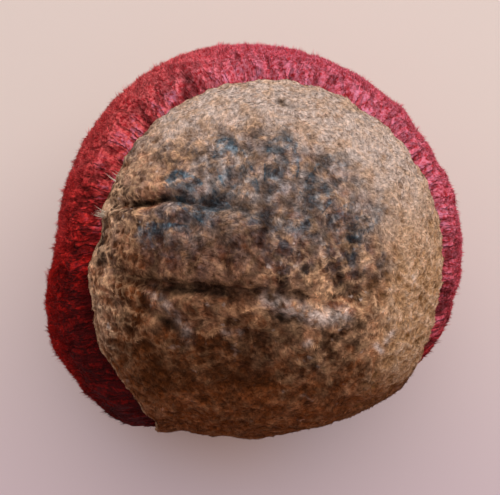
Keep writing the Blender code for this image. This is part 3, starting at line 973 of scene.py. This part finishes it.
def plain_mesh(name, source, tree, values):
    """The result of a node tree on a copy of an object, as a plain mesh object with no modifier."""
    worker = source.copy()
    bpy.context.scene.collection.objects.link(worker)
    modifier = worker.modifiers.new(name, "NODES")
    modifier.node_group = tree
    for item in tree.interface.items_tree:
        if item.in_out == "INPUT" and item.name in values:
            modifier[item.identifier] = values[item.name]
    graph = bpy.context.evaluated_depsgraph_get()
    mesh = bpy.data.meshes.new_from_object(worker.evaluated_get(graph), depsgraph=graph)
    bpy.data.objects.remove(worker)
    mesh.name = name
    return new_object(name, mesh)


def add_nap(name, panel, finish, slot, hairs, length, radius, lean, tousle, shape, seed, cover, comb, band):
    """One stretch of nap on a panel, between the two heights of its band, mapped where its roots are.

    lean is from upright, in degrees. cover and comb name what the panel keeps about how thick the hairs
    stand and which way they lie.
    """
    values = {"Finish": finish, "Hairs": hairs, "Length": length, "Radius": radius, "Tousle": tousle}
    values |= {"Seed": seed, "Cover": cover, "Comb": comb}
    values |= zip(("Least lean", "Most lean"), map(math.radians, lean))
    values |= zip(("Curl", "Segments", "Lowest", "Highest"), shape + band)
    nap = plain_mesh(name, panel, NAP, values)
    mesh = nap.data
    spots = read(mesh.attributes["root_map"].data, "vector", 3)[:, :2]
    corners = read(mesh.loops, "vertex_index", kind=np.int32)
    turn = corners % 4 * math.pi / 2
    spread = HAIR_MAP_SPREAD * np.stack((np.cos(turn), np.sin(turn)), 1)
    for old in list(mesh.uv_layers):
        mesh.uv_layers.remove(old)
    layer = mesh.uv_layers.new(name="OFBake")
    layer.data.foreach_set("uv", (spots[corners] + spread).astype(np.float32).ravel())
    mesh.shade_smooth()
    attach(nap, "bag")


def nap_finish(name, suede_colour, contrast, shine=0.1):
    """The finish of hairs: the suede's colour at the root, lighter or darker from hair to hair."""
    finish, shader, s = new_finish(name, 0.8, shine=shine)
    base = suede_colour(s, s.attribute("root", "Vector"))
    lighter = (s.attribute("tone") - 0.5) * contrast + 1.0
    plug(lighter.scaled(base), shader, "Base Color")
    return finish


tan_nap = nap_finish("tan nap", tan_colour, 0.8, shine=0.03)
tan_matting = nap_finish("matted tan nap", tan_colour, 1.0, shine=0.03)
red_nap = nap_finish("crimson nap", red_colour, 0.8)
red_matting = nap_finish("matted crimson nap", red_colour, 1.1)
wisps, shader, s = new_finish("pale wisps", 0.7, shine=0.2)
plug((s.attribute("tone") * 0.4).mixed(colour(244, 228, 204), colour(150, 116, 86)), shader, "Base Color")

TUFTS = (  # of the tan edge, frayed out: place along the seam, spread along it, and how thick
    (0.0893, 0.0009, 1.0),
    (0.0725, 0.0012, 0.20),
)
FRAYED_EDGE, RED_BARE, RED_BARE_EASE = 0.7, 3.2, 5  # millimetres from the seam
RED_LEAST_NAP = 0.05
RED_TUFT_SIZE, RED_TUFT_GAIN, RED_TUFT_CUT = 0.0009, 8, 3.2
at_edge = np.exp(-((values_of(tan_panel, "seam_distance") / FRAYED_EDGE) ** 2))
tan_share = values_of(tan_panel, "seam_share")
loose_tufts = sum(thick * np.exp(-(((tan_share - middle) / spread) ** 2)) for middle, spread, thick in TUFTS)
store(tan_panel.data, "nap", 1 - tan_crease)
store(tan_panel.data, "wisps", at_edge * loose_tufts)
far_from_seam = np.clip((values_of(red_panel, "seam_distance") - RED_BARE) / RED_BARE_EASE, 0, 1)
store(red_panel.data, "nap", RED_LEAST_NAP + (1 - RED_LEAST_NAP) * far_from_seam)
clumps = np.clip(noise_at(places_of(red_panel) / RED_TUFT_SIZE) * RED_TUFT_GAIN - RED_TUFT_CUT, 0, 1)
store(red_panel.data, "tufts", clumps * far_from_seam)

STRAIGHT, CURLED = (0.0, 1), (0.30, 2)  # how far a hair curls, and in how many segments
SPLIT_HEIGHTS = (0.0009, 0.020, 0.029, 1.0)
OFF_TABLE = (0.0018, 1.0)
NAPS = (  # name, panel, finish, slot, hairs a square metre, length, radius, lean, tousle, shape, seed
    ("tan_nap", tan_panel, tan_nap, "tan_suede", 22e6, 0.00040, 0.000030, (60, 88), 0.5, STRAIGHT, 1),
    ("tan_matting", tan_panel, tan_matting, "tan_suede", 9e6, 0.00055, 0.000065, (76, 89), 0.5, CURLED, 11),
    ("red_nap", red_panel, red_nap, "red_suede", 24e6, 0.00055, 0.000034, (25, 84), 0.5, STRAIGHT, 21),
    ("red_matting", red_panel, red_matting, "red_suede", 9e6, 0.00065, 0.000080, (50, 86), 0.6, CURLED, 31),
)
for part, band in enumerate(zip(SPLIT_HEIGHTS, SPLIT_HEIGHTS[1:]), 1):
    for name, *kind in NAPS:
        add_nap(f"{name}_{part}", *kind, "nap", "comb", band)
add_nap(
    "tan_edge_wisps", tan_panel, wisps, "tan_suede", 90e6, 0.0018, 0.000065, (78, 89), 0.12, CURLED, 41,
    "wisps", "over_seam", OFF_TABLE,
)
add_nap(
    "red_tufts", red_panel, red_nap, "red_suede", 60e6, 0.0010, 0.000055, (30, 68), 0.3, CURLED, 61,
    "tufts", "comb", OFF_TABLE,
)

# Threads
# Two lengths of pale sewing thread, hidden inside: one ran round the seam by machine while the panels lay
# inside out, and one closed the filling gap by hand.

thread_finish, shader, s = new_finish("sewing thread", 0.8, sheen=0.3, shine=0.3)
strands = s.noise(object_place(s), 0.25, detail=2.0).between(0.35, 0.65)
plug(strands.mixed(colour(176, 156, 128), colour(224, 208, 182)), shader, "Base Color")


def dress(node, finish):
    """Gives a piece of the frame one finish."""
    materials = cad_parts[node].data.materials
    materials.clear()
    materials.append(finish)


for node in ("seam_thread", "closing_thread"):
    dress(node, thread_finish)

# Pellets
# Moulded plastic pellets, loose inside the cover: the settled bed, and the uppermost ones lying on it.

pellet_finish, shader, s = new_finish("pellet plastic", 0.4)
cloud = s.noise(object_place(s), 4.0).between(0.35, 0.65)
plug(cloud.mixed(colour(206, 204, 196), colour(232, 230, 222)), shader, "Base Color")
plug(0.35 + cloud * 0.2, shader, "Roughness")
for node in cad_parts:
    if "pellet" in node:
        dress(node, pellet_finish)

# Table, light and camera
# A pale pinkish sheet under one broad window of light from beyond the bag, looked down on from close above.
# The sheet is painted darker towards the near side, with a painted warm glow of light thrown back by the bag.

bpy.context.scene.view_settings.view_transform = "Standard"

bpy.ops.mesh.primitive_plane_add(size=3.0, location=(0, 0, 0))
table = bpy.context.object
table.name = "table"
table_finish, shader, s = new_finish("pale table", 0.7, shine=0.2)
beside, nearer, _ = s.parts(object_place(s))
# Painted shade: the sheet's colour darkens towards the near side.
sheet = nearer.between(0.03, -0.06).mixed(colour(229, 214, 204), colour(211, 190, 195))
off_bag = s.maths("SQRT", beside * beside + nearer * nearer)
# Painted light: a warm glow on the table in front of the bag, as if thrown back by it.
painted_bounce_glow = off_bag.between(0.038, 0.022) * nearer.between(-0.005, -0.02) * beside.between(0.012, -0.008)
plug((painted_bounce_glow * 0.55).mixed(sheet, colour(222, 178, 146)), shader, "Base Color")
table.data.materials.append(table_finish)

WINDOW_PLACE, WINDOW_AIM = Vector((0.17, 0.38, 0.52)), Vector((0, 0, 0.02))
window = bpy.data.lights.new("window", "AREA")
window.shape = "RECTANGLE"
window.size, window.size_y = 1.2, 1.0
window.energy = 5.4
window.color = (1.0, 0.97, 0.98)
light = new_object("window", window)
light.location = WINDOW_PLACE
light.rotation_euler = (WINDOW_AIM - WINDOW_PLACE).to_track_quat("-Z", "Y").to_euler()

world = bpy.data.worlds.new("room")
world.use_nodes = True
nodes, links = world.node_tree.nodes, world.node_tree.links
room_light = nodes["Background"]
room_light.inputs["Color"].default_value = (1.0, 0.90, 0.92, 1.0)
room_light.inputs["Strength"].default_value = 0.43
pale_wall = nodes.new("ShaderNodeBackground")
pale_wall.inputs["Color"].default_value = colour(224, 204, 198)
either = nodes.new("ShaderNodeMixShader")
links.new(nodes.new("ShaderNodeLightPath").outputs["Is Camera Ray"], either.inputs["Fac"])
links.new(room_light.outputs[0], either.inputs[1])
links.new(pale_wall.outputs[0], either.inputs[2])
links.new(either.outputs[0], nodes["World Output"].inputs["Surface"])
bpy.context.scene.world = world

CAMERA_DISTANCE = 0.079
CAMERA_RISE = math.radians(80)
FOCAL_PIXELS = 596.5
IMAGE_WIDE, IMAGE_HIGH = 500, 495
CENTRE_PIXEL = (257.9, 243.4)

lens = bpy.data.cameras.new("camera")
lens.sensor_width = 36.0
lens.lens = FOCAL_PIXELS / IMAGE_WIDE * lens.sensor_width
lens.shift_x = (IMAGE_WIDE / 2 - CENTRE_PIXEL[0]) / IMAGE_WIDE
lens.shift_y = (CENTRE_PIXEL[1] - IMAGE_HIGH / 2) / IMAGE_WIDE
lens.clip_start = 0.005
camera = new_object("camera", lens)
to_camera = Vector((0, -math.cos(CAMERA_RISE), math.sin(CAMERA_RISE)))
camera.location = Vector(BAG_CENTRE) + CAMERA_DISTANCE * to_camera
camera.rotation_euler = (math.pi / 2 - CAMERA_RISE, 0, 0)
bpy.context.scene.camera = camera
